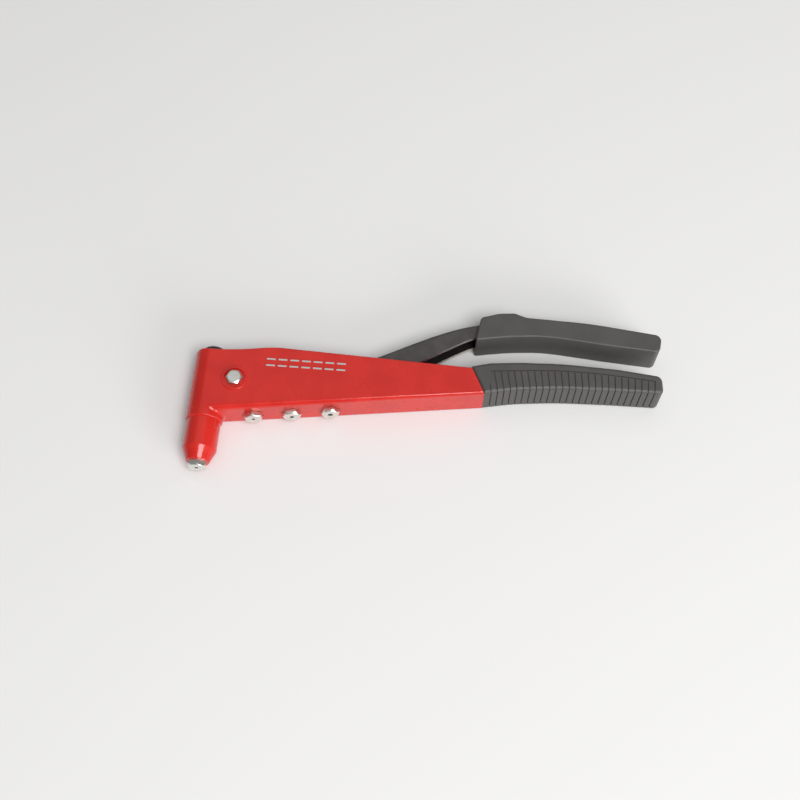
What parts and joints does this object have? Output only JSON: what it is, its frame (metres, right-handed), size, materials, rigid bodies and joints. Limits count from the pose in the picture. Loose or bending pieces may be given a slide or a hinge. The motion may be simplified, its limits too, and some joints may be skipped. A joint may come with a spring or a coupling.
{
  "type": "hand riveter",
  "caption": "Hand riveter: red cast body with upright barrel and tapered nose, hexagon nosepieces, and a pivoting channel lever above a ribbed fixed grip.",
  "frame": {"origin": "middle of the fitted nosepiece's mouth, on the rivet axis; the tool lies on its side on the plane z = -10.5 mm", "axes": "+Y up the barrel along the rivet axis, +X towards the ends of the grips, +Z out of the side face that is uppermost"},
  "size_m": [0.2684, 0.1066, 0.0235],
  "materials": {
    "red_paint": "gloss red paint on die-cast aluminium",
    "zinc_steel": "bright zinc plated",
    "machined_steel": "turned steel",
    "hardened_steel": "hardened, dark",
    "spring_steel": "drawn wire",
    "black_steel": "black satin coating with bare sheared edges",
    "grip_plastic": "moulded, dark grey",
    "cap_plastic": "moulded, black"
  },
  "bodies": {
    "frame": {"body_frame": "red_paint", "nose_sleeve": "red_paint", "nosepiece_fitted": "zinc_steel", "spare_nosepiece_1": "zinc_steel", "spare_nosepiece_2": "zinc_steel", "spare_nosepiece_3": "zinc_steel", "pivot_bolt": "zinc_steel", "pivot_sleeve": "zinc_steel", "end_cap": "cap_plastic", "handle_grip": "grip_plastic"},
    "lever": {"lever": "black_steel", "lever_grip": "grip_plastic"},
    "carriage": {"jaw_case": "machined_steel", "pull_coupling": "machined_steel", "case_locknut": "machined_steel", "jaw_spring": "spring_steel"},
    "pusher": {"jaw_pusher": "machined_steel"},
    "jaw_1": {"jaw_1": "hardened_steel"},
    "jaw_2": {"jaw_2": "hardened_steel"},
    "jaw_3": {"jaw_3": "hardened_steel"}
  },
  "joints": [
    {"name": "lever_hinge", "type": "hinge", "parent": "frame", "child": "lever", "pos_m": [0.0155, 0.0518, 0], "axis": [0, 0, 1], "range_deg": [0, 40]},
    {"name": "carriage_slide", "type": "slide", "parent": "frame", "child": "carriage", "axis": [0, -1, 0], "range_m": [0, 0.0113]},
    {"name": "pusher_slide", "type": "slide", "parent": "carriage", "child": "pusher", "axis": [0, 1, 0], "range_m": [0, 0.003], "stiffness_N_per_m": 2500, "springref_m": -0.002, "deforming": ["jaw_spring"]},
    {"name": "jaw_1_slide", "type": "slide", "parent": "carriage", "child": "jaw_1", "axis": [0, 0.9781, -0.2079], "range_m": [0, 0.0031]},
    {"name": "jaw_2_slide", "type": "slide", "parent": "carriage", "child": "jaw_2", "axis": [-0.1801, 0.9781, 0.104], "range_m": [0, 0.0031]},
    {"name": "jaw_3_slide", "type": "slide", "parent": "carriage", "child": "jaw_3", "axis": [0.1801, 0.9781, 0.104], "range_m": [0, 0.0031]}
  ],
  "couplings": [
    {"joint": "carriage_slide", "follows": "lever_hinge", "m_per_rad": 0.016162},
    {"joint": "jaw_1_slide", "follows": "pusher_slide", "ratio": 1.0223},
    {"joint": "jaw_2_slide", "follows": "pusher_slide", "ratio": 1.0223},
    {"joint": "jaw_3_slide", "follows": "pusher_slide", "ratio": 1.0223}
  ]
}
